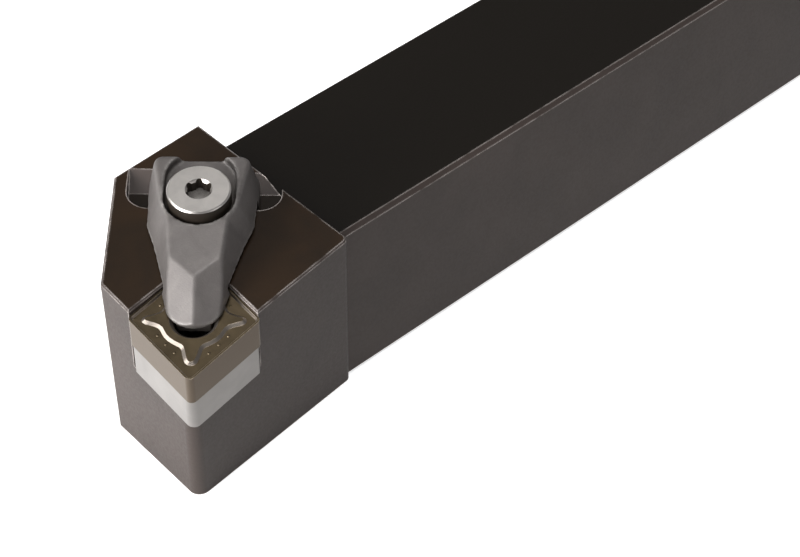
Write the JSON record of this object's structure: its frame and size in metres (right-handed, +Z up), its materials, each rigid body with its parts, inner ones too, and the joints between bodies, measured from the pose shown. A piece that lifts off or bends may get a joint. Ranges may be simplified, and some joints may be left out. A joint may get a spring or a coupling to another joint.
{
  "type": "turning tool holder",
  "caption": "Right-hand external turning tool holder: square steel shank, rhombic carbide insert on a shim, held by a screwed top clamp with a rounded nose and a heel.",
  "frame": {"origin": "under the middle of the tool's overall size, at the height of the shank's bottom face", "axes": "+X from the cutting corner to the shank's end, -Y towards the cutting side, +Z up; the tool lies on its shank's bottom face"},
  "size_m": [0.15, 0.032, 0.036],
  "materials": {
    "dark_steel": "hardened steel with a dark, milled, satin surface",
    "shim_steel": "ground, light grey",
    "screw_steel": "satin machined steel",
    "coated_carbide": "pressed and sintered carbide with a dark bronze coating",
    "cast_clamp": "fine matt investment casting",
    "spring_steel": "drawn wire"
  },
  "bodies": {
    "holder": {"holder_body": "dark_steel", "shim": "shim_steel", "shim_screw": "screw_steel", "insert": "coated_carbide", "clamp_spring": "spring_steel"},
    "clamp": {"clamp": "cast_clamp"},
    "clamp_screw": {"clamp_screw": "screw_steel"}
  },
  "joints": [
    {"name": "clamp_lift", "type": "slide", "parent": "holder", "child": "clamp", "axis": [-0.0945, -0.1126, 0.9891], "range_m": [0, 0.003], "deforming": ["clamp_spring"]},
    {"name": "screw_turn", "type": "hinge", "parent": "clamp", "child": "clamp_screw", "pos_m": [-0.05778, 0.00131, 0.03278], "axis": [-0.0945, -0.1126, 0.9891], "range_deg": [0, 1350]}
  ],
  "couplings": [
    {"joint": "screw_turn", "follows": "clamp_lift", "rad_per_m": 7854}
  ]
}
